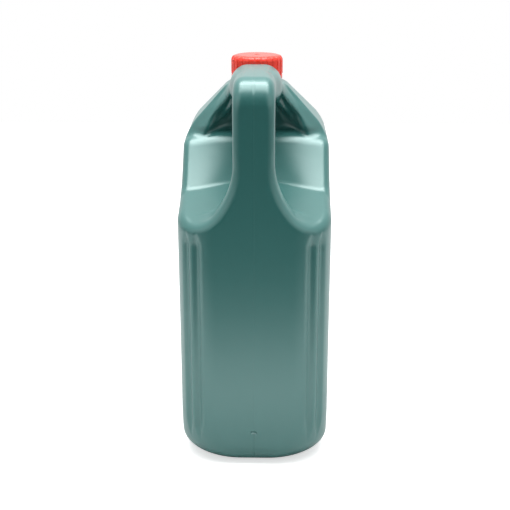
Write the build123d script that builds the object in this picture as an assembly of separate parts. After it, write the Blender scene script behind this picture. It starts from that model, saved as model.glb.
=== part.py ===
from build123d import *
from math import cos, radians, sin, tan
import os

# Frame: millimetres, origin under the middle of the body on the surface it stands on,
# +Z up, X across the narrow sides, Y along the broad sides, handle at the -Y end.

# Body
body_width = 115.0            # across X
body_length = 190.0           # along Y
seat_height = 281.0           # flat land round the foot of the neck
wall = 1.2                    # blown wall
corner_radius = 30.0          # upright corners, in plan
heel_radius = 16.0            # round the foot
foot_corner = 44.0            # corners of the foot, in plan
foot_rise = 36.0              # height over which the corners narrow to the foot
shoulder_rise = 40.0          # slope from the upright sides to the land
shoulder_radius = 9.0         # rounding between the sides and the shoulders
seat_width = 43.0
seat_front = 46.0             # from the land's front end to the front face
seat_radius = 20.0
pushup_margin = 20.0          # standing ring round the raised middle of the base
pushup_height = 2.5
pushup_taper = 30.0           # degrees

# Label panels on the broad sides and grooves down the rear corners
panel_low = 26.0
panel_gap = 8.5               # from the panel's top to the lip of the pocket
panel_rear = 37.0             # from the rear face
panel_front = 29.0            # from the front face
panel_depth = 0.8
panel_radius = 14.0
groove_angles = (29.7, 49.5)  # round the rear corners, from the rear face
groove_radius = 6.0
groove_depth = 2.0
groove_low = 22.0
groove_gap = 3.5              # from the top of a groove to the lip of the pocket

# Hollow handle
post_depth = 25.0             # rear post, along Y
handle_width = 30.4           # across X
handle_rise = 15.5            # top of the handle over the land
bend_radius = 18.0            # rear bend, outside
bar_depth = 25.0              # bar, along Z
hump_width = 40.0
hump_start = 47.0             # where the bar begins to widen, from the rear face
hump_full = 71.0              # where it has its full width
hump_sweep = 20.0             # curves of the bar's sides between them
hump_gap = 27.0               # from the end of the hump to the neck's axis
hump_nose = 8.0               # rounding of the hump's end
grip_radius = 11.0            # inside corners of the hand gap
flare_radius = 58.0           # curve from the post out to the rear lip
flare_turn = 60.0             # degrees that the flare turns through
flare_drop = 61.5             # from the top of the handle to the flare's start
handle_edge = 5.0             # rounding of the rear edges and of the flare's foot
root_radius = 32.0            # sweep from the bar's sides into the shoulders

# Pocket beside and under the handle
pocket_depth = 94.5           # from the land down to the rear edge of the pocket's floor
floor_slope = 17.0            # degrees
floor_length = 57.0           # along Y, from the rear face to the ramp
ramp_slope = 48.0             # degrees
brow_height = 5.0             # steeper last stretch of the ramp
brow_slope = 54.0             # degrees
crest_drop = 40.0             # from the land down to the top of the ramp
wall_gap = 13.0               # from the pocket's far wall to the neck's axis
rim_gap = 19.0                # from the rear face of the hood to the neck's axis
hood_depth = 14.0             # thickness of the hood, square to the shoulders
roof_depth = 8.0              # thickness of the hood under the land
blend_radius = 8.0            # between floor and ramp
brow_radius = 3.0
crest_radius = 5.0

# Neck, tamper ring, cap and liner
neck_y = 25.0                 # neck's axis
neck_radius = 17.2
bore_radius = 15.0
neck_height = 15.0            # from the land to the neck's rim
bead_radius = 18.3            # bead that holds the tamper ring down
bead_height = 1.6
ring_radius = 20.3
ring_height = 3.6
ring_clearance = 0.35         # round the neck, under the ring and over it
cap_radius = 20.2             # between the grip ribs
cap_plate = 2.2               # thickness of the top plate
liner_depth = 1.8
cap_bore = 18.75
cap_edge = 3.0                # rounding of the cap's top edge
rib_count = 24
rib_height = 0.45
rib_width = 1.1
liner_radius = 18.2

rear = -body_length / 2
front = body_length / 2
shoulder_height = seat_height - shoulder_rise
lip_height = seat_height - pocket_depth
handle_top = seat_height + handle_rise
rim_height = seat_height + neck_height
cap_top = rim_height + liner_depth + cap_plate
far = 2 * (body_length + seat_height)   # longer than any cut


def closed(points, radii):
    """A closed outline with a rounding at each of its points."""
    return make_face(FilletPolyline(*points, radius=radii, close=True))


def across(outline):
    """A side outline, in Y and Z, carried right across X."""
    return extrude(Plane.YZ * outline, far, both=True)


def upright_plan(inset):
    """Plan of the upright sides."""
    return RectangleRounded(body_width - 2 * inset, body_length - 2 * inset, corner_radius - inset)


def land_plan(inset):
    """Plan of the land round the neck, which the shoulders rise to."""
    length = body_length - seat_front - 2 * inset
    return Pos(0, rear + inset + length / 2) * RectangleRounded(seat_width - 2 * inset, length, seat_radius - inset)


def foot_plan(inset):
    """Plan of the foot, with rounder corners than the sides above it."""
    return RectangleRounded(body_width - 2 * inset, body_length - 2 * inset, foot_corner - inset)


def at_height(solid, z):
    """Edges that lie in the level plane z."""
    return solid.edges().filter_by_position(Axis.Z, z - 0.01, z + 0.01)


def block(inset):
    """Upright body, rounded heel and sloping shoulders, before the pocket is taken out."""
    plan = upright_plan(inset)
    solid = loft([Pos(0, 0, inset) * foot_plan(inset), Pos(0, 0, foot_rise) * plan], ruled=True)
    solid += extrude(Pos(0, 0, foot_rise) * plan, shoulder_height - foot_rise)
    solid += loft([Pos(0, 0, shoulder_height) * plan, Pos(0, 0, seat_height - inset) * land_plan(inset)],
                  ruled=True)
    solid = fillet(at_height(solid, inset), heel_radius - inset)
    return fillet(at_height(solid, shoulder_height), shoulder_radius - inset)


def pocket_side(inset):
    """Side outline of the pocket: sloping floor, ramp, its steeper brow, crest and far wall."""
    lip = lip_height - inset
    crest_z = seat_height - crest_drop - inset
    turn = (rear + floor_length, lip + floor_length * tan(radians(floor_slope)))
    brow_z = crest_z - brow_height
    brow = (turn[0] + (brow_z - turn[1]) / tan(radians(ramp_slope)), brow_z)
    crest = (brow[0] + brow_height / tan(radians(brow_slope)), crest_z)
    back = (rear - far, lip - far * tan(radians(floor_slope)))
    end = neck_y - wall_gap + inset
    return closed([back, turn, brow, crest, (end, crest_z), (end, far), (back[0], far)],
                  [0, blend_radius, brow_radius, crest_radius, brow_radius, 0, 0])


def hood_view(inset):
    """Rear view of the space under the hood, whose underside runs along with the shoulders."""
    lean = (body_width - seat_width) / 2 / shoulder_rise
    across_hood = hood_depth * (1 + lean ** 2) ** 0.5 - inset
    top = seat_height - roof_depth + inset
    half = body_width / 2 - (top - shoulder_height) * lean - across_hood
    low = lip_height / 2
    wide = half + (top - low) * lean
    return closed([(-wide, low), (wide, low), (half, top), (-half, top)], [0, 0, brow_radius, brow_radius])


def pocket(inset):
    """Space behind the shoulders and, under the hood, on towards the neck."""
    half = handle_width / 2 - inset
    face = neck_y - rim_gap + inset
    sweep = root_radius - inset / 2
    root = face - root_radius
    rim = closed([(-far, -far), (far, -far), (far, face), (half, face), (half, root),
                  (-half, root), (-half, face), (-far, face)],
                 [0, 0, 0, sweep, 0, 0, sweep, 0])
    under = extrude(Plane.XZ * hood_view(inset), far, both=True)
    return across(pocket_side(inset)) & (under + extrude(rim, far))


def handle_side(inset):
    """Side outline of the handle: rear post, bend, bar and the nose before the cap."""
    top = handle_top - inset
    low = handle_top - bar_depth + inset
    inner = rear + post_depth - inset
    inside = neck_y - wall_gap + hump_nose
    under = seat_height - roof_depth / 2
    end = neck_y - hump_gap - inset
    base = lip_height / 2
    return closed([(rear + inset, base), (rear + inset, top), (end, top), (end, under), (inside, under),
                   (inside, low), (inner, low), (inner, base)],
                  [0, bend_radius - inset, hump_nose - inset, 0, 0, 0, grip_radius + inset, 0])


def post_view(inset):
    """Rear view of the post, which flares out to the pocket's lip at its foot."""
    half = handle_width / 2 - inset
    radius = flare_radius + inset
    turn = radians(flare_turn)
    start = handle_top - flare_drop
    foot = (half + radius * (1 - cos(turn)), start - radius * sin(turn))
    run = body_width / 4
    end = (foot[0] + run * sin(turn), foot[1] - run * cos(turn))
    base = lip_height / 2
    right = make_face([
        Line((half, far), (half, start)), RadiusArc((half, start), foot, -radius),
        Line(foot, end), Line(end, (end[0], base)), Line((end[0], base), (0, base)),
        Line((0, base), (0, far)), Line((0, far), (half, far))])
    return right + mirror(right, about=Plane.YZ)


def handle(inset):
    """Hollow handle, carried down into the body behind the pocket's lip."""
    half = handle_width / 2 - inset
    hump = hump_width / 2 - inset
    split = rear + post_depth + grip_radius
    start, full = rear + hump_start, rear + hump_full
    bar = closed([(half, split), (half, start), (hump, full), (hump, far),
                  (-hump, far), (-hump, full), (-half, start), (-half, split)],
                 [0, hump_sweep, hump_sweep, 0, 0, hump_sweep, hump_sweep, 0])
    post = extrude(Plane.XZ.offset(-split) * post_view(inset), far)
    return across(handle_side(inset)) & extrude(upright_plan(inset), far) & (post + extrude(bar, far))


def foot_edges(solid, inset):
    """Edges where the flare's sides stand on the pocket's floor."""
    half = handle_width / 2 - inset
    behind = rear + post_depth
    found = []
    for edge in solid.edges():
        box, middle = edge.bounding_box(), edge.center()
        beside = abs(middle.X) > half and lip_height - inset < middle.Z < lip_height + post_depth
        if beside and middle.Y < behind and box.size.Y > post_depth / 2 and box.max.Y < behind + 1:
            found.append(edge)
    return found


def rear_edges(solid, inset):
    """Edges down the rear of the handle, from the top of the bend to the foot of the flare."""
    half = handle_width / 2 - inset
    wide = half + flare_radius * (1 - cos(radians(flare_turn)))
    found = []
    for edge in solid.edges():
        box, middle = edge.bounding_box(), edge.center()
        beside = half - 0.1 < abs(middle.X) < wide and middle.Z > lip_height - inset
        if beside and box.min.Y < rear + inset + 0.1 and box.max.Y < rear + bend_radius + 1 and box.size.Z > 3:
            found.append(edge)
    return found


def round_handle(solid, inset):
    """Rounds the handle's rear edges from foot to bend and blends the flare into the floor."""
    return fillet(foot_edges(solid, inset) + rear_edges(solid, inset), handle_edge - inset / 2)


def panels(inset):
    """Shallow recess on each broad side for a label."""
    low, high = panel_low - inset, lip_height - panel_gap + inset
    back, end = rear + panel_rear - inset, front - panel_front + inset
    outline = Pos((back + end) / 2, (low + high) / 2) * RectangleRounded(end - back, high - low, panel_radius + inset)
    one = extrude(Plane.YZ.offset(body_width / 2 - panel_depth - inset) * outline, body_width)
    return one + mirror(one, about=Plane.YZ)


def grooves(inset):
    """Two long scallops down each rear corner, with round ends."""
    radius = groove_radius + inset
    reach = corner_radius + groove_radius - groove_depth
    high = lip_height - groove_gap - groove_radius
    outline = make_face([
        RadiusArc((0, groove_low - radius), (radius, groove_low), -radius),
        Line((radius, groove_low), (radius, high)),
        RadiusArc((radius, high), (0, high + radius), -radius),
        Line((0, high + radius), (0, groove_low - radius))])
    scallop = revolve(Plane.XZ * outline, Axis.Z)
    places = []
    for side in (-1, 1):
        for angle in groove_angles:
            x = side * (body_width / 2 - corner_radius + reach * sin(radians(angle)))
            y = rear + corner_radius - reach * cos(radians(angle))
            places.append(Pos(x, y, 0) * scallop)
    return places


def pushup(inset):
    """Raised middle of the base, inside the standing ring."""
    grow = 2 * (inset - pushup_margin)
    outline = RectangleRounded(body_width + grow, body_length + grow, foot_corner - pushup_margin + inset)
    return extrude(outline, pushup_height + inset, taper=pushup_taper)


def bottle_form(inset):
    """Whole blown form without its neck; with an inset it is the hollow inside the wall."""
    solid = block(inset) - pocket(inset) + handle(inset)
    solid = round_handle(solid, inset)
    return solid - panels(inset) - pushup(inset) - grooves(inset)


def bottle():
    """Blown shell with its hollow handle and open neck."""
    at_neck = Pos(0, neck_y, 0)
    up = (Align.CENTER, Align.CENTER, Align.MIN)
    bead_z = seat_height + ring_height + 2 * ring_clearance
    neck = at_neck * Pos(0, 0, seat_height - wall) * Cylinder(neck_radius, rim_height - seat_height + wall, align=up)
    neck += at_neck * Pos(0, 0, bead_z) * Cylinder(bead_radius, bead_height, align=up)
    bore = at_neck * Pos(0, 0, seat_height - 2 * wall) * Cylinder(bore_radius, far, align=up)
    return bottle_form(0) + neck - bottle_form(wall) - bore


def tube(outer, inner, low, high):
    """A ring round the neck's axis."""
    section = make_face(Polyline((inner, low), (outer, low), (outer, high), (inner, high), close=True))
    return Pos(0, neck_y, 0) * revolve(Plane.XZ * section, Axis.Z)


def tamper_ring():
    """Ring that stays on the neck under its bead."""
    low = seat_height + ring_clearance
    return tube(ring_radius, neck_radius + ring_clearance, low, low + ring_height)


def cap():
    """Screw cap: skirt with grip ribs, round top edge and top plate."""
    low = seat_height + ring_height + 2 * ring_clearance

    def turned(radius):
        outline = closed([(0, low), (radius, low), (radius, cap_top), (0, cap_top)], [0, 0, cap_edge, 0])
        return revolve(Plane.XZ * outline, Axis.Z)

    blade = Pos(cap_radius, 0, cap_top / 2) * Box(cap_radius, rib_width, cap_top)
    ribbed = turned(cap_radius + rib_height)
    ribs = [ribbed & (Rot(0, 0, 360 / rib_count * i) * blade) for i in range(rib_count)]
    solid = turned(cap_radius) + ribs
    hollow = Pos(0, 0, low - 1) * Cylinder(
        cap_bore, cap_top - cap_plate - low + 1, align=(Align.CENTER, Align.CENTER, Align.MIN))
    return Pos(0, neck_y, 0) * (solid - hollow)


def cap_liner():
    """Foam disc between the neck's rim and the cap's top plate."""
    section = make_face(Polyline((0, rim_height), (liner_radius, rim_height),
                                 (liner_radius, cap_top - cap_plate), (0, cap_top - cap_plate), close=True))
    return Pos(0, neck_y, 0) * revolve(Plane.XZ * section, Axis.Z)


if __name__ == "__main__":
    os.makedirs("parts", exist_ok=True)
    for make in (bottle, cap, tamper_ring, cap_liner):
        export_step(make(), f"parts/{make.__name__}.step")
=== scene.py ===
from math import radians
from types import SimpleNamespace

import bpy
import numpy as np
from bpy.props import FloatProperty, FloatVectorProperty, IntProperty, PointerProperty
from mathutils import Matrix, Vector


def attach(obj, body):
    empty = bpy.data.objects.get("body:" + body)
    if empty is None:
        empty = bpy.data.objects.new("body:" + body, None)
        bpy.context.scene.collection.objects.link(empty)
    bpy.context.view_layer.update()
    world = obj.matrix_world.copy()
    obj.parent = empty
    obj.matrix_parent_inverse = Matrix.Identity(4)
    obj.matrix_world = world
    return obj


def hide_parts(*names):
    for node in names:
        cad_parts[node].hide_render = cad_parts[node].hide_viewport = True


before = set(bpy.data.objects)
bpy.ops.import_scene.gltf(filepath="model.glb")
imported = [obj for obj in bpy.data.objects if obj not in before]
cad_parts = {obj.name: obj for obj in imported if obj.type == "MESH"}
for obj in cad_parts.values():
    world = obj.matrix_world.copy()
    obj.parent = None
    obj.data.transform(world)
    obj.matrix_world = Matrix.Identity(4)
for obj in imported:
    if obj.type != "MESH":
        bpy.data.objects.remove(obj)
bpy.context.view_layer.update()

bl_info = {
    "name": "Blown oil bottle",
    "version": (1, 0, 0),
    "blender": (4, 5, 0),
    "location": "View3D > Sidebar > Bottle",
    "description": "Surfaces and finishes of a blown bottle with a hollow handle and a screw cap",
    "category": "Object",
}

# Shapes are worked out in millimetres and put into the meshes in metres
MM = 0.001


def linear(code):
    """sRGB hex code to a linear colour with alpha."""
    parts = [int(code[i:i + 2], 16) / 255 for i in (1, 3, 5)]
    return [c / 12.92 if c <= 0.04045 else ((c + 0.055) / 1.055) ** 2.4 for c in parts] + [1.0]


# Sizes and colours that a user would change

class BottleSizes(bpy.types.PropertyGroup):
    half_width: FloatProperty(
        name="Half width", description="Half of the body across X, in mm",
        default=57.5, min=40, max=80)
    half_length: FloatProperty(
        name="Half length", description="Half of the body along Y, in mm",
        default=95.0, min=70, max=130)
    corner: FloatProperty(
        name="Corner radius", description="Upright corners in plan, in mm",
        default=30.0, min=15, max=45)
    heel: FloatProperty(
        name="Heel radius", description="Rounding round the foot, in mm",
        default=16.0, min=5, max=25)
    cell: FloatProperty(
        name="Cell", description="Spacing of the surface's points, in mm",
        default=1.4, min=1.0, max=4.0)


class CapSizes(bpy.types.PropertyGroup):
    radius: FloatProperty(
        name="Radius", description="Cap's outside between its ribs, in mm",
        default=20.0, min=15, max=30)
    ribs: IntProperty(
        name="Ribs", description="Grip ribs round the skirt",
        default=24, min=8, max=60)
    rib_height: FloatProperty(
        name="Rib height", description="How far the ribs stand out, in mm",
        default=0.65, min=0.1, max=1.5)
    rib_width: FloatProperty(
        name="Rib width", description="Width of a rib at its foot, in mm",
        default=1.3, min=0.5, max=3)
    rib_turn: FloatProperty(
        name="Turn", description="Angle that the ribs are turned by",
        default=radians(-4.2), min=radians(-8), max=radians(8), subtype="ANGLE")
    pitch: FloatProperty(
        name="Pitch", description="Climb of the thread in one turn, in mm",
        default=4.0, min=2, max=8)


class BottleColours(bpy.types.PropertyGroup):
    pearl: FloatVectorProperty(
        name="Pearl HDPE", description="Colour of the blown shell and its neck",
        subtype="COLOR", size=4, default=linear("#32716D"), min=0, max=1)
    red: FloatVectorProperty(
        name="Red PP", description="Colour of the cap and its ring",
        subtype="COLOR", size=4, default=linear("#F23C2A"), min=0, max=1)
    foam: FloatVectorProperty(
        name="Foam wad", description="Colour of the cap's liner",
        subtype="COLOR", size=4, default=linear("#E8E6E0"), min=0, max=1)


# The blown form in mm. Heights are above the table. A name in _x, _y or _z with two values is where a
# change along that axis starts and ends, counted towards the rear for open_y and rim_less_y. An edge is the
# radius that rounds it.
FORM = SimpleNamespace(
    # body in plan, narrower and rounder towards the foot, and the rounding round the heel
    half=57.5, long=95.0, corner=30.0, taper=0.9, taper_z=190.0, tuck=18.0, tuck_z=40.0, heel=16.0,
    # flutes: their angles round a rear corner and half width, in degrees, and the width left at the tips
    flutes=(29.7, 49.5), flute_width=9.0, flute_tip=0.2, flute_depth=2.0,
    flute_low_z=(16, 34), flute_high_z=(173, 187),
    # label panels on the broad sides: middle, half length and half height, corners, depth, and where it
    # fades out across the outline
    panel_middle=(4, 102), panel_long=62, panel_tall=76, panel_corner=14, panel_depth=0.8,
    panel_side=(-2.0, 1.0),
    # shoulders, from the body's top up to the flat seat round the neck; the rear end is left far away
    shoulder=241.0, seat=281.0, seat_half=21.5, seat_front=49.0, seat_edge=4, slope_ends=(-1.0, 1.3),
    slope_scale=0.72, corner_less=5, far=400.0,
    # pocket's floor, from its lip at the rear, with its climb in degrees, and the ramp and crest past it
    lip=186.5, climb=17.0, turn_y=-23.0, turn_skew=15.0, turn_x=(4, 56), sag=1.8, crease=1.2,
    crest=241.8, crest_y=-2.0, crest_drop=2.5, crest_x=(28, 54), crest_edge=7,
    # recess under the hood: its end wall, the hood's thickness at the flanks and at the top, and where
    # the recess opens upwards behind the hood
    wall=13.0, wall_fade=7.0, wall_x=(18, 42), wall_edge=5,
    hood=16.0, hood_top=8, open_up=60, open_y=(14, 34), under_edge=6,
    # hood's rear face, and the fillet at its root beside the handle
    rim=8.5, rim_in=6, rim_less=14, rim_less_y=(28, 62), root=32.0, rim_scale=0.7, rim_edge=5,
    pocket_edge=5, mouth_edge=3,
    # handle: its post, bar and hump over the neck, and its flared foot
    post_half=15.2, post_depth=25.0, top=296.0, bar=25.0, bar_end=2.0, bar_edge=6, grip=11.0,
    hump_half=19.8, hump_y=(-48, -20), flare=58.0, flare_z=235.0, handle_edge=7,
    foot=6.0, foot_low=1.5, foot_z=(212, 235),
    # crown: the top of the handle, and the rounding of its bend
    crown=295.8, crown_y=(-45, -14), crown_edge=3, bend=20.0, bend_y=(-50, 0),
    # raised middle of the base, inside the ring that the bottle stands on
    ring=20, base_corner=14, base_rise=2.5, base_edge=5)

# Folds of the hood's rear face: amounts that it stands out by, in mm, and the drops below the fold line
# at which they come. The line starts at the seat's edge, falls 1 mm in each line_slope mm outwards and
# curves up by the bar.
FOLDS = SimpleNamespace(
    line_slope=0.9, line_curve=0.1, line_x=26, stand=2.5, groove=9, groove_drop=(-1, 11),
    ridge=6.5, ridge_drop=(9.5, 19), ridge_x=(25, 41), line_cut=1.1, cut_drop=22.5, cut_wide=2.0,
    cut_x=(26, 36), outer=0.55, outer_drop=9, outer_deep=9, outer_x=(26, 42),
    lip=2.0, lip_drop=2.5, lip_wide=1.6, lip_z=(256, 266), fade_z=(228, 248))

# Radius of the rounding between the form and its upright sides and crown: the least, what is added low
# down, near the top, on the hump and at the waist under it, and what the neck's middle takes away
EDGE = SimpleNamespace(
    least=6, low=1.0, low_z=(225, 250), high=2, high_z=(270, 290),
    hump=6, hump_y=(-60, -20), hump_z=(268, 286), middle=7, middle_x=(7, 13), middle_y=(-12, -3),
    waist=4.0, waist_y=(-40, 0), waist_low_z=(228, 250), waist_high_z=(256, 270))

# The surface's grid and how its points are moved onto the surface, in mm: the space left round the form,
# the grid's lowest height, the cell's height over its width, the passes, the distance that the slope is
# taken over, the longest move, and the least slope squared
NET = SimpleNamespace(margin=4, low=-4.3, tall=1.25, passes=4, probe=0.05, longest=0.7, least=0.2)

# Turned pieces, as radii and heights in mm; rounding is the radius at each corner of the profile, and step
# the spacing of points along it. Ribs are left off inside rib_core, and rib_spread is the part of a rib's
# width that lies on each side of its middle.
NECK = SimpleNamespace(
    axis_y=25, outside=17.2, bore=15, foot=279, rim=296, bead=18.3, bead_low=(285.3, 285.7),
    bead_high=(286.6, 287.2), bore_foot=280.6, inner_foot=(17.0, 279.2),
    rounding=[0.1, 0.3, 0.3, 0.2, 0.5, 0.4, 1.2], step=0.4, segments=240)
CAP = SimpleNamespace(
    bore=18.75, plate=297.8, lead_in=285.9, mouth=19.1, foot=285.3, top=300, dimple=(2.4, 1.5),
    dimple_floor=299.55, rounding=[0.4, 0.1, 0.1, 0.35, 4.2, 0.3, 0.3], step=0.45, segments_per_rib=16,
    rib_core=17, rib_spread=0.6, rib_low_z=(285.3, 285.6), rib_high_z=(299.0, 299.85))
RING = SimpleNamespace(
    bore=17.55, outside=20.3, foot=281.35, top=284.95, rounding=[0.35, 0.35, 0.2], step=0.3, segments=144)
WAD = SimpleNamespace(
    radius=18.2, foot=296.02, top=297.77, rounding=[0.2, 0.2], step=0.3, segments=96)

# The thread: half widths of its crest and foot, the height over which it fades at an end, where it runs
# on the neck and in the cap, and how far it stands out there
THREAD = SimpleNamespace(
    crest=0.35, foot=0.95, fade=1.2, low=287.4, neck_high=295.2, cap_high=295.8, on_neck=0.95, in_cap=0.9,
    cap_phase=0.5)

# The room, in metres: the table's half width, near edge and far edge, and the white that it adds for the
# camera alone
TABLE = SimpleNamespace(half=0.9, near=-0.38, far=1.4, colour="#DADADA", glow=0.6)

# Light from the room by direction: Z times tilt plus Y, from dark to bright, gives the level
ROOM = SimpleNamespace(tilt=0.6, dark=-0.75, bright=1.1, least=0.02, most=1.0)

# Lamps: name, place, the point it faces, width and height in metres, and power in watts
LAMPS = (
    ("overhead_softbox", (0, 0.19, 1.35), (0, 0.19, 0), (1.2, 0.4), 14.0),
    ("rear_softbox", (0, -0.32, 1.35), (0, -0.32, 0), (1.6, 0.5), 12.0),
    ("near_floor", (0, -0.25, 0.004), (0, -0.25, 1), (0.9, 0.14), 0.2),
    ("left_panel", (-1.2, -0.85, 0.7), (0, 0, 0.15), (1.5, 1.2), 4.5),
    ("right_panel", (1.2, -0.85, 0.7), (0, 0, 0.15), (1.5, 1.2), 4.5),
)

# Camera: distance, height and the height that it looks at, in metres, its turn round the bottle in
# degrees, and the focal length, the picture's width and the shift in the picture's own pixels
CAMERA = SimpleNamespace(away=0.85, up=0.3995, aim=0.1405, turn=1.2, focal=1087, wide=510, shift=-1.3,
                         sensor=36.0)


# Shapes in numbers

def join(a, b, r):
    """Union of two distance fields with a fillet of radius r."""
    return np.maximum(r, np.minimum(a, b)) - np.hypot(np.maximum(r - a, 0), np.maximum(r - b, 0))


def meet(a, b, r):
    """Common part of two distance fields with its edge rounded to radius r."""
    return np.minimum(-r, np.maximum(a, b)) + np.hypot(np.maximum(r + a, 0), np.maximum(r + b, 0))


def rise(a, lo, hi):
    """Smooth step from 0 at lo to 1 at hi: t t (3 - 2 t)."""
    t = np.clip((a - lo) / (hi - lo), 0, 1)
    return t * t * (3 - 2 * t)


def bell(a, middle, width):
    """Bell curve of height 1: e to the power of minus the square of (a - middle) / width."""
    return np.exp(-((a - middle) / width) ** 2)


def rounded_plan(x, y, half, back, front, r):
    """Distance to a rectangle in plan with corners of radius r."""
    qx = np.abs(x) - (half - r)
    qy = np.abs(y - (back + front) / 2) - ((front - back) / 2 - r)
    return np.hypot(np.maximum(qx, 0), np.maximum(qy, 0)) + np.minimum(np.maximum(qx, qy), 0) - r


def upright_sides(x, y, z):
    """The body's sides: a rounded rectangle in plan, less taper and with larger corners towards the foot,
    less the flutes (1 - u u) squared deep down its rear corners and the panels on its broad sides."""
    p = FORM
    half = p.half - p.taper * np.clip(1 - z / p.taper_z, 0, 1)
    corner = p.corner + p.tuck * np.clip(1 - z / p.tuck_z, 0, 1) ** 2
    upright = rounded_plan(x, y, half, -p.long, p.long, corner)
    # angle round the corner, in degrees, from the rear face
    angle = np.degrees(np.arctan2(np.abs(x) - (p.half - p.corner), -(y + p.long - p.corner)))
    tall = rise(z, *p.flute_low_z) * (1 - rise(z, *p.flute_high_z))
    width = p.flute_width * (p.flute_tip + (1 - p.flute_tip) * tall)
    for middle in p.flutes:
        u = np.clip(np.abs(angle - middle) / width, 0, 1)
        upright = upright + p.flute_depth * (1 - u * u) ** 2 * tall
    outline = rounded_plan(y - p.panel_middle[0], z - p.panel_middle[1], p.panel_long,
                           -p.panel_tall, p.panel_tall, p.panel_corner)
    return upright + p.panel_depth * (1 - rise(outline, *p.panel_side))


def shoulders(x, y, z):
    """The sloping shoulders: a rounded rectangle in plan that shrinks evenly from the body's to the
    seat's, cut off flat at the seat."""
    p = FORM
    t = np.clip((z - p.shoulder) / (p.seat - p.shoulder), *p.slope_ends)
    half = p.half - (p.half - p.seat_half) * t
    front = p.long - (p.long - p.seat_front) * t
    slope = p.slope_scale * rounded_plan(x, y, half, -p.far, front, p.corner - p.corner_less * t)
    return meet(slope, z - p.seat, p.seat_edge)


def hood_folds(ax, z):
    """How far the hood's rear face stands out, by the drop below a line that runs along with the shoulder
    and curves up beside the bar: a lip, a groove, a ridge with a fine line in it, and a step outwards."""
    p, f = FORM, FOLDS
    line = p.seat - (ax - p.seat_half) / f.line_slope + f.line_curve * np.maximum(f.line_x - ax, 0) ** 2
    drop = line - z
    ridge = f.ridge * rise(drop, *f.ridge_drop) * (1 - rise(ax, *f.ridge_x))
    fold = f.stand - f.groove * rise(drop, *f.groove_drop) + ridge
    fold = fold - f.line_cut * bell(drop, f.cut_drop, f.cut_wide) * (1 - rise(ax, *f.cut_x))
    fold = fold - f.outer * np.clip(drop - f.outer_drop, 0, f.outer_deep) * rise(ax, *f.outer_x)
    fold = fold + f.lip * bell(drop, f.lip_drop, f.lip_wide) * rise(z, *f.lip_z)
    return fold * rise(z, *f.fade_z)


def pocket(ax, y, z):
    """The space beside the handle: above the floor, the ramp and the crest, behind the end wall, and
    either in the recess under the hood or behind the hood's rear face."""
    p = FORM
    climb = np.radians(p.climb)
    floor = (p.lip + (y + p.long) * np.tan(climb) - z) * np.cos(climb)
    # ramp: straight from the crease to the crest, sagging by a parabola
    turn_y = p.turn_y - p.turn_skew * rise(ax, *p.turn_x)
    turn_z = p.lip + (turn_y + p.long) * np.tan(climb)
    steep = (p.crest - turn_z) / (p.crest_y - turn_y)
    u = np.clip((y - turn_y) / (p.crest_y - turn_y), 0, 1)
    ramp = (turn_z + (y - turn_y) * steep - p.sag * 4 * u * (1 - u) - z) / np.hypot(1, steep)
    crest = p.crest - p.crest_drop * rise(ax, *p.crest_x) - z
    ground = join(meet(floor, ramp, p.crease), crest, p.crest_edge)
    wall = p.wall - p.wall_fade * rise(ax, *p.wall_x)
    side = meet(ground, y - wall, p.wall_edge)
    # recess: under a slope that lies the hood's thickness inside the shoulder's flank
    run, fall = p.half - p.seat_half, p.seat - p.shoulder
    flank = ((ax - p.half) * fall + (z - p.shoulder) * run) / np.hypot(run, fall)
    ceiling = z - (p.seat - p.hood_top) - p.open_up * rise(-y, *p.open_y)
    under = meet(flank + p.hood, ceiling, p.under_edge)
    beside = p.post_half - p.rim_in - p.rim_less * rise(-y, *p.rim_less_y) - ax
    rim = meet(beside, y - p.rim - hood_folds(ax, z), p.root) * p.rim_scale
    return meet(side, join(under, rim, p.rim_edge), p.pocket_edge)


def handle(ax, y, z):
    """The handle: post, bend and bar as one run seen from the side, met with its own sides, which widen
    to the hump and flare out below along a circle."""
    p = FORM
    run = join(y + p.long - p.post_depth, p.top - p.bar - z, p.grip)
    run = meet(run, y - p.bar_end, p.bar_edge)
    wide = p.post_half + (p.hump_half - p.post_half) * rise(y, *p.hump_y)
    flare = p.flare - np.hypot(ax - p.post_half - p.flare, z - p.flare_z)
    return meet(run, np.where(z > p.flare_z, ax - wide, flare), p.handle_edge)


def outer_edge(ax, y, z):
    """Radius of the outer rounding, place by place: the least plus or minus the named amounts."""
    e = EDGE
    high = rise(z, *e.hump_z)
    edge = e.least + e.low * (1 - rise(z, *e.low_z)) + e.high * rise(z, *e.high_z)
    edge = edge + e.hump * rise(y, *e.hump_y) * high
    edge = edge - e.middle * rise(y, *e.middle_y) * (1 - rise(ax, *e.middle_x)) * high
    waist = rise(z, *e.waist_low_z) * (1 - rise(z, *e.waist_high_z))
    return edge + e.waist * rise(y, *e.waist_y) * waist


def bottle_field(x, y, z):
    """Distance, in mm, to the blown form: the shoulders less the pocket, joined to the handle, met with
    the upright sides and the crown, then with the table round the heel, less the base's hollow."""
    p = FORM
    ax = np.abs(x)
    solid = meet(shoulders(x, y, z), -pocket(ax, y, z), p.mouth_edge)
    foot = p.foot + p.foot_low * (1 - rise(z, *p.foot_z))
    solid = join(solid, handle(ax, y, z), foot)
    crown = p.top + (p.crown - p.top) * rise(y, *p.crown_y)
    bend = p.crown_edge + (p.bend - p.crown_edge) * (1 - rise(y, *p.bend_y))
    outside = meet(upright_sides(x, y, z), z - crown, bend)
    solid = meet(solid, outside, outer_edge(ax, y, z))
    base = meet(solid, -z, p.heel)
    inner = rounded_plan(x, y, p.half - p.ring, p.ring - p.long, p.long - p.ring, p.base_corner)
    return np.maximum(base, p.base_rise * (1 - rise(inner, -p.base_edge, 0)) - z)


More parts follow.
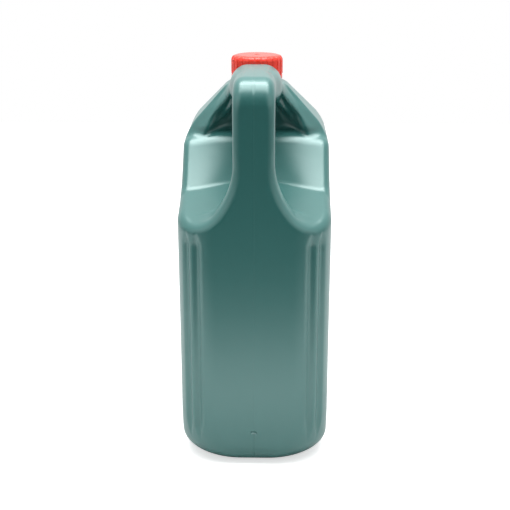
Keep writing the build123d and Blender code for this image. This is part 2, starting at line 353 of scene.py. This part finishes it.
def surface_net(field, low, high, steps):
    """Points and quads of the surface where field is zero: one point in each grid cell that it passes
    through, at the mean of its crossings with the cell's edges, then moved onto the surface along the
    field's slope."""
    axes = [np.arange(a, b + s, s) for a, b, s in zip(low, high, steps)]
    grid = field(*np.meshgrid(*axes, indexing="ij")).astype(np.float32)
    inside = grid < 0
    shape = tuple(n - 1 for n in grid.shape)
    total, count = np.zeros(shape + (3,), np.float32), np.zeros(shape, np.int32)
    crossings = []
    for axis in range(3):
        a = [slice(None)] * 3
        b = [slice(None)] * 3
        a[axis], b[axis] = slice(None, -1), slice(1, None)
        where = np.argwhere(inside[tuple(a)] != inside[tuple(b)])
        f0 = grid[tuple(a)][tuple(where.T)]
        f1 = grid[tuple(b)][tuple(where.T)]
        point = where.astype(np.float32)
        point[:, axis] += f0 / (f0 - f1)
        others = [k for k in range(3) if k != axis]
        # the four cells round each edge that is crossed, in turn
        cells = []
        for du, dv in ((0, 0), (1, 0), (1, 1), (0, 1)):
            cell = where.copy()
            cell[:, others[0]] -= du
            cell[:, others[1]] -= dv
            cells.append(tuple(cell.T))
            np.add.at(total, cells[-1], point)
            np.add.at(count, cells[-1], 1)
        crossings.append((cells, (f0 < 0) if axis != 1 else (f0 >= 0)))
    active = count > 0
    number = np.full(shape, -1, np.int64)
    number[active] = np.arange(active.sum())
    points = total[active] / count[active][:, None]
    points = points * np.array(steps, np.float32) + np.array([a[0] for a in axes], np.float32)
    quads = []
    for cells, outwards in crossings:
        ring = np.stack([number[cell] for cell in cells], 1)
        quads.append(np.where(outwards[:, None], ring, ring[:, ::-1]))
    points = points.astype(float)
    probes = np.eye(3) * NET.probe
    for _ in range(NET.passes):
        slope = np.stack([field(*(points + d).T) - field(*(points - d).T) for d in probes], 1)
        slope = slope / (2 * NET.probe)
        value = field(*points.T)
        step = (value / np.maximum((slope ** 2).sum(1), NET.least))[:, None] * slope
        points -= np.clip(step, -NET.longest, NET.longest)
    return points, np.concatenate(quads)


def softened(corners, radii, step):
    """A profile through (radius, height) corners, each rounded by an arc of its own radius, with points a
    step apart: the arc from angle a0 to a1 about its centre c is c + r (cos a, sin a)."""
    corners = [np.array(c, float) for c in corners]
    out = [corners[0]]
    for before, here, after, r in zip(corners, corners[1:], corners[2:], radii):
        u, v = (before - here) / np.hypot(*(before - here)), (after - here) / np.hypot(*(after - here))
        half = np.arccos(np.clip(u @ v, -1, 1)) / 2
        centre = here + (u + v) / np.hypot(*(u + v)) * r / np.sin(half)
        start, end = here + u * r / np.tan(half) - centre, here + v * r / np.tan(half) - centre
        a0 = np.arctan2(start[1], start[0])
        sweep = (np.arctan2(end[1], end[0]) - a0 + np.pi) % (2 * np.pi) - np.pi
        a = a0 + sweep * np.linspace(0, 1, max(3, int(abs(sweep) * r / step) + 2))
        out.extend(centre + r * np.stack([np.cos(a), np.sin(a)], 1))
    out.append(corners[-1])
    line = np.array(out)
    reach = np.concatenate([[0], np.cumsum(np.hypot(*np.diff(line, axis=0).T))])
    fine = np.unique(np.concatenate([reach, np.arange(0, reach[-1], step)]).round(4))
    return np.stack([np.interp(fine, reach, line[:, 0]), np.interp(fine, reach, line[:, 1])], 1)


def turned(profile, segments, relief=None):
    """Points and quads of a profile of (radius, height) pairs turned about the neck's axis: x = r cos t,
    y = r sin t + the axis's y, z = h, with r = profile radius + relief(t, h, row)."""
    t = np.linspace(0, 2 * np.pi, segments, endpoint=False)
    r, h = profile[:, 0][:, None], profile[:, 1][:, None]
    if relief is not None:
        r = r + relief(t, h, np.arange(len(profile))[:, None])
    points = np.stack([r * np.cos(t), r * np.sin(t) + NECK.axis_y, h + 0 * t], -1).reshape(-1, 3)
    i, j = np.meshgrid(np.arange(len(profile) - 1), np.arange(segments), indexing="ij")
    k = (j + 1) % segments
    here, above = i * segments, (i + 1) * segments
    quads = np.stack([here + j, here + k, above + k, above + j], -1)
    return points, quads.reshape(-1, 4)


def thread(t, h, pitch, high, phase=0.0):
    """Height, 0 to 1, of a right-handed thread's ridge at the angle t and height h: its middle runs along
    h = pitch (t / 2 pi + phase), half a pitch higher, and it fades out at both ends."""
    p = THREAD
    off = np.abs((h - pitch * (t / (2 * np.pi) + phase)) / pitch % 1.0 - 0.5) * pitch
    ridge = 1 - rise(off, p.crest, p.foot)
    return ridge * rise(h, p.low, p.low + p.fade) * (1 - rise(h, high - p.fade, high))


def make_piece(name, points, faces, material, body):
    """A smooth mesh object in metres at the origin, from points in mm and quads, riding a body."""
    mesh = bpy.data.meshes.new(name)
    mesh.vertices.add(len(points))
    mesh.vertices.foreach_set("co", (points * MM).astype(np.float32).ravel())
    mesh.loops.add(faces.size)
    mesh.loops.foreach_set("vertex_index", faces.astype(np.int32).ravel())
    mesh.polygons.add(len(faces))
    mesh.polygons.foreach_set("loop_start", np.arange(0, faces.size, faces.shape[1], dtype=np.int32))
    mesh.update(calc_edges=True)
    mesh.validate()
    mesh.polygons.foreach_set("use_smooth", np.ones(len(mesh.polygons), bool))
    obj = bpy.data.objects.new(name, mesh)
    bpy.context.scene.collection.objects.link(obj)
    mesh.materials.append(material)
    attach(obj, body)
    return obj


# Finishes

def node(tree, kind, settings=(), links=()):
    """Adds a node, sets its properties and input values, and links sockets into it."""
    made = tree.nodes.new("ShaderNode" + kind)
    for key, value in dict(settings).items():
        if isinstance(key, str) and hasattr(made, key):
            setattr(made, key, value)
        else:
            made.inputs[key].default_value = value
    for key, source in dict(links).items():
        tree.links.new(source, made.inputs[key])
    return made


def empty_material(name):
    """A material with no nodes yet."""
    material = bpy.data.materials.new(name)
    material.use_nodes = True
    material.node_tree.nodes.clear()
    return material


def plastic(name, settings):
    """A material of one principled shader, and that shader."""
    material = empty_material(name)
    shader = node(material.node_tree, "BsdfPrincipled", settings)
    node(material.node_tree, "OutputMaterial", links={"Surface": shader.outputs[0]})
    return material, shader


def pearl_hdpe(colour):
    """Blow-moulded HDPE with mica pearl pigment: a satin sheen, a little of it metallic, that turns
    pale where it faces the light and dark where it faces the dark end of the room, over a faint ripple."""
    material, shader = plastic("pearl_hdpe", {
        "Base Color": colour, "Metallic": 0.12, "Roughness": 0.34, "Specular IOR Level": 0.95,
        "Coat Weight": 0.3, "Coat Roughness": 0.3})
    tree = material.node_tree
    at = node(tree, "TexCoord").outputs["Object"]
    place = node(tree, "SeparateXYZ", links={"Vector": at})
    # skin that shrank as it cooled, 9 mm between waves
    ripple = node(tree, "TexNoise", {"Scale": 110.0, "Detail": 2.0, "Roughness": 0.4}, {"Vector": at})

    def band(axis, middle, lo, hi):
        """1 within lo of the middle along an axis, fading to 0 at hi, in mm."""
        off = node(tree, "Math", {"operation": "SUBTRACT", 1: middle * MM}, {0: place.outputs[axis]})
        off = node(tree, "Math", {"operation": "ABSOLUTE"}, {0: off.outputs[0]})
        return node(tree, "MapRange", {"interpolation_type": "SMOOTHSTEP", "From Min": lo * MM,
                                       "From Max": hi * MM, "To Min": 1.0, "To Max": 0.0},
                    {"Value": off.outputs[0]}).outputs[0]

    def mark(lo, hi, height, low, high):
        """A mark on the seam: a band lo to hi beside it, times a band low to high from a height."""
        across, along = band("X", 0.0, lo, hi), band("Z", height, low, high)
        return node(tree, "Math", {"operation": "MULTIPLY"}, {0: across, 1: along}).outputs[0]

    # relief, one laid over the other: its pattern, strength, depth in mm, and whether it is cut in
    relief = (
        (ripple.outputs[0], 0.05, 2.0, False),
        # seam where the mould's halves meet, drawn 1.2 mm wide because the real one, about 0.3 mm wide,
        # would not show
        (band("X", 0.0, 0.0, 0.6), 0.5, 0.2, False),
        # pinch-off of the parison: a welded ridge up the heel's middle, 27 mm high
        (mark(0.3, 0.9, 0.0, 26.5, 27.5), 0.8, 0.4, False),
        # notch across the ridge's end
        (mark(1.4, 2.6, 27.5, 0.3, 1.1), 1.0, 1.0, True),
        # short notch in the seam at the top of the handle's bend
        (mark(0.2, 1.4, 289.5, 0.0, 6.0), 0.5, 0.6, True),
    )
    links = {}
    for pattern, strength, depth, cut_in in relief:
        bump = node(tree, "Bump", {"Strength": strength, "Distance": depth * MM, "invert": cut_in},
                    {"Height": pattern, **links})
        links = {"Normal": bump.outputs[0]}
    tree.links.new(links["Normal"], shader.inputs["Normal"])
    return material


def red_pp(colour):
    """Injection-moulded red polypropylene: a full body colour that light enters a little, under a satin
    skin."""
    return plastic("red_pp", {
        "Base Color": colour, "Roughness": 0.27, "Specular IOR Level": 0.55, "IOR": 1.49,
        "Subsurface Weight": 0.05, "Subsurface Radius": (0.004, 0.001, 0.0006),
        "Subsurface Scale": 0.5})[0]


def foam_wad(colour):
    """Pressed polyethylene foam: pale and matt."""
    return plastic("foam_wad", {"Base Color": colour, "Roughness": 0.85})[0]


# Materials made so far, by finish; the CAD nodes bring plain ones of the same names, which aren't used
MADE = {}


def shared(finish, colour):
    """The finish's material, made once for all the pieces of that plastic."""
    if finish not in MADE:
        MADE[finish] = finish(colour)
    return MADE[finish]


# The room

def add_lamp(name, place, aim, size, power):
    """A rectangular softbox that faces the point aim."""
    data = bpy.data.lights.new(name, "AREA")
    data.shape = "RECTANGLE"
    data.size, data.size_y = size
    data.energy = power
    lamp = bpy.data.objects.new(name, data)
    bpy.context.scene.collection.objects.link(lamp)
    lamp.location = place
    lamp.rotation_euler = (Vector(aim) - Vector(place)).to_track_quat("-Z", "Y").to_euler()


def make_floor():
    """A pale table top; beyond its edge the room is white to the camera."""
    mesh = bpy.data.meshes.new("floor")
    corners = [(-TABLE.half, TABLE.near, 0), (TABLE.half, TABLE.near, 0),
               (TABLE.half, TABLE.far, 0), (-TABLE.half, TABLE.far, 0)]
    mesh.from_pydata(corners, [], [(0, 1, 2, 3)])
    floor = bpy.data.objects.new("floor", mesh)
    bpy.context.scene.collection.objects.link(floor)
    material = empty_material("white_table")
    tree = material.node_tree
    ray = node(tree, "LightPath").outputs["Is Camera Ray"]
    base = node(tree, "BsdfDiffuse", {"Color": linear(TABLE.colour)})
    lift = node(tree, "Math", {"operation": "MULTIPLY", 1: TABLE.glow}, {0: ray})
    glow = node(tree, "Emission", {"Color": (1, 1, 1, 1)}, {"Strength": lift.outputs[0]})
    both = node(tree, "AddShader", links={0: base.outputs[0], 1: glow.outputs[0]})
    node(tree, "OutputMaterial", links={"Surface": both.outputs[0]})
    mesh.materials.append(material)


def make_world(scene):
    """The room: white to the camera; for light, bright above and beyond the bottle and dark behind the
    camera."""
    world = bpy.data.worlds.new("room")
    scene.world = world
    world.use_nodes = True
    tree = world.node_tree
    tree.nodes.clear()
    ray = node(tree, "LightPath").outputs["Is Camera Ray"]
    way = node(tree, "SeparateXYZ", links={"Vector": node(tree, "TexCoord").outputs["Generated"]})
    aim = node(tree, "Math", {"operation": "MULTIPLY_ADD", 1: ROOM.tilt},
               {0: way.outputs["Z"], 2: way.outputs["Y"]})
    level = node(tree, "MapRange", {"interpolation_type": "SMOOTHSTEP", "From Min": ROOM.dark,
                                    "From Max": ROOM.bright, "To Min": ROOM.least, "To Max": ROOM.most},
                 {"Value": aim.outputs[0]})
    room = node(tree, "Background", {"Color": (1, 1, 1, 1)}, {"Strength": level.outputs[0]})
    white = node(tree, "Background", {"Color": (1, 1, 1, 1), "Strength": 1.0})
    both = node(tree, "MixShader", links={0: ray, 1: room.outputs[0], 2: white.outputs[0]})
    node(tree, "OutputWorld", links={"Surface": both.outputs[0]})


def make_camera(scene):
    """Camera behind the handle and a little above it."""
    data = bpy.data.cameras.new("camera")
    camera = bpy.data.objects.new("camera", data)
    scene.collection.objects.link(camera)
    turn = np.radians(CAMERA.turn)
    place = Vector((CAMERA.away * np.sin(turn), -CAMERA.away * np.cos(turn), CAMERA.up))
    camera.location = place
    camera.rotation_euler = (Vector((0, 0, CAMERA.aim)) - place).to_track_quat("-Z", "Y").to_euler()
    data.sensor_width = CAMERA.sensor
    data.lens = CAMERA.focal / CAMERA.wide * CAMERA.sensor
    data.shift_x = CAMERA.shift / CAMERA.wide
    scene.camera = camera


# Operators

class MakeStage(bpy.types.Operator):
    """Pale table, softboxes overhead, behind, beside and low down, the room and the camera"""
    bl_idname = "bottle.stage"
    bl_label = "Stage"

    def execute(self, context):
        context.scene.view_settings.view_transform = "Standard"
        make_floor()
        make_world(context.scene)
        for lamp in LAMPS:
            add_lamp(*lamp)
        make_camera(context.scene)
        return {"FINISHED"}


class MakeShell(bpy.types.Operator):
    """Blown shell with its handle, pocket, corner flutes and label panels"""
    bl_idname = "bottle.shell"
    bl_label = "Blown shell"

    def execute(self, context):
        sizes = context.scene.bottle_sizes
        FORM.half, FORM.long = sizes.half_width, sizes.half_length
        FORM.corner, FORM.heel = sizes.corner, sizes.heel
        cell = sizes.cell * 1
        low = (-FORM.half - NET.margin, -FORM.long - NET.margin, NET.low)
        high = (FORM.half + NET.margin, FORM.long + NET.margin, FORM.top + NET.margin)
        points, quads = surface_net(bottle_field, low, high, (cell, cell, cell * NET.tall))
        pearl = shared(pearl_hdpe, context.scene.bottle_colours.pearl)
        shell = make_piece("bottle_shell", points, quads, pearl, "bottle")
        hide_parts("bottle")
        return {"FINISHED"}


class MakeNeck(bpy.types.Operator):
    """Neck with its bead, its thread and the open rim"""
    bl_idname = "bottle.neck"
    bl_label = "Neck"

    def execute(self, context):
        p = NECK
        # up the outside past the bead, over the rim and down the bore
        corners = [(p.outside, p.foot), (p.outside, p.bead_low[0]), (p.bead, p.bead_low[1]),
                   (p.bead, p.bead_high[0]), (p.outside, p.bead_high[1]), (p.outside, p.rim),
                   (p.bore, p.rim), (p.bore, p.bore_foot), p.inner_foot]
        profile = softened(corners, p.rounding, p.step)
        pitch = context.scene.cap_sizes.pitch

        def relief(t, h, row):
            """The thread, on the outside alone."""
            outside = profile[row, 0] > (p.outside + p.bore) / 2
            return THREAD.on_neck * thread(t, h, pitch, THREAD.neck_high) * outside

        points, quads = turned(profile, p.segments, relief)
        pearl = shared(pearl_hdpe, context.scene.bottle_colours.pearl)
        make_piece("neck", points, quads, pearl, "bottle")
        return {"FINISHED"}


class MakeCap(bpy.types.Operator):
    """Screw cap with its grip ribs, its thread and the gate's dimple"""
    bl_idname = "bottle.cap"
    bl_label = "Screw cap"

    def execute(self, context):
        sizes = context.scene.cap_sizes
        p = CAP
        wide = sizes.radius
        # from the wad's seat down the bore, out over the skirt's foot and up to the gate's dimple on top
        corners = [(0, p.plate), (p.bore, p.plate), (p.bore, p.lead_in), (p.mouth, p.foot),
                   (wide, p.foot), (wide, p.top), (p.dimple[0], p.top), (p.dimple[1], p.dimple_floor),
                   (0, p.dimple_floor)]
        profile = softened(corners, p.rounding, p.step)
        # the row at the skirt's foot, where the inside ends
        inner = np.argmin(profile[:, 1])

        def relief(t, h, row):
            """Ribs outside, each a smooth step down from its middle to its sides and faded into the top's
            rounding, and the thread inside."""
            across = np.abs((t - sizes.rib_turn) * sizes.ribs / (2 * np.pi) % 1.0 - 0.5)
            across = (0.5 - across) * 2 * np.pi * wide / sizes.ribs
            rib = sizes.rib_height * (1 - rise(across, 0.0, p.rib_spread * sizes.rib_width))
            rib = rib * rise(h, *p.rib_low_z) * (1 - rise(h, *p.rib_high_z))
            rib = rib * (profile[row, 0] > p.rib_core)
            ridge = -THREAD.in_cap * thread(t, h, sizes.pitch, THREAD.cap_high, THREAD.cap_phase)
            return np.where(row > inner, rib, ridge)

        points, quads = turned(profile, p.segments_per_rib * sizes.ribs, relief)
        red = shared(red_pp, context.scene.bottle_colours.red)
        cap = make_piece("screw_cap", points, quads[:, ::-1], red, "cap")
        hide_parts("cap")
        return {"FINISHED"}


class MakeRing(bpy.types.Operator):
    """Ring that stays on the neck, under the cap's skirt"""
    bl_idname = "bottle.ring"
    bl_label = "Ring"

    def execute(self, context):
        p = RING
        corners = [(p.bore, p.foot), (p.outside, p.foot), (p.outside, p.top), (p.bore, p.top),
                   (p.bore, p.foot)]
        points, quads = turned(softened(corners, p.rounding, p.step), p.segments)
        red = shared(red_pp, context.scene.bottle_colours.red)
        ring = make_piece("ring", points, quads, red, "bottle")
        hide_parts("tamper_ring")
        return {"FINISHED"}


class MakeWad(bpy.types.Operator):
    """Foam wad that seals the rim, drawn 0.02 mm clear of it and 0.03 mm clear of the cap's plate"""
    bl_idname = "bottle.wad"
    bl_label = "Foam wad"

    def execute(self, context):
        p = WAD
        corners = [(0, p.foot), (p.radius, p.foot), (p.radius, p.top), (0, p.top)]
        points, quads = turned(softened(corners, p.rounding, p.step), p.segments)
        foam = shared(foam_wad, context.scene.bottle_colours.foam)
        wad = make_piece("wad", points, quads, foam, "liner")
        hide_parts("cap_liner")
        return {"FINISHED"}


class BOTTLE_PT_panel(bpy.types.Panel):
    """Sizes, colours and steps of the bottle"""
    bl_idname = "BOTTLE_PT_panel"
    bl_label = "Bottle"
    bl_space_type = "VIEW_3D"
    bl_region_type = "UI"
    bl_category = "Bottle"

    def draw(self, context):
        scene = context.scene
        for group in (scene.bottle_sizes, scene.cap_sizes, scene.bottle_colours):
            for key in group.__annotations__:
                self.layout.prop(group, key)
        for step in STEPS:
            self.layout.operator(step.bl_idname)


GROUPS = {"bottle_sizes": BottleSizes, "cap_sizes": CapSizes, "bottle_colours": BottleColours}
STEPS = (MakeStage, MakeShell, MakeNeck, MakeCap, MakeRing, MakeWad)


def register():
    for kind in (*GROUPS.values(), *STEPS, BOTTLE_PT_panel):
        bpy.utils.register_class(kind)
    for key, kind in GROUPS.items():
        setattr(bpy.types.Scene, key, PointerProperty(type=kind))


def unregister():
    for key in GROUPS:
        delattr(bpy.types.Scene, key)
    for kind in reversed((*GROUPS.values(), *STEPS, BOTTLE_PT_panel)):
        bpy.utils.unregister_class(kind)


def main():
    register()
    bpy.ops.bottle.stage()
    bpy.ops.bottle.shell()
    bpy.ops.bottle.neck()
    bpy.ops.bottle.cap()
    bpy.ops.bottle.ring()
    bpy.ops.bottle.wad()


if __name__ == "__main__":
    main()
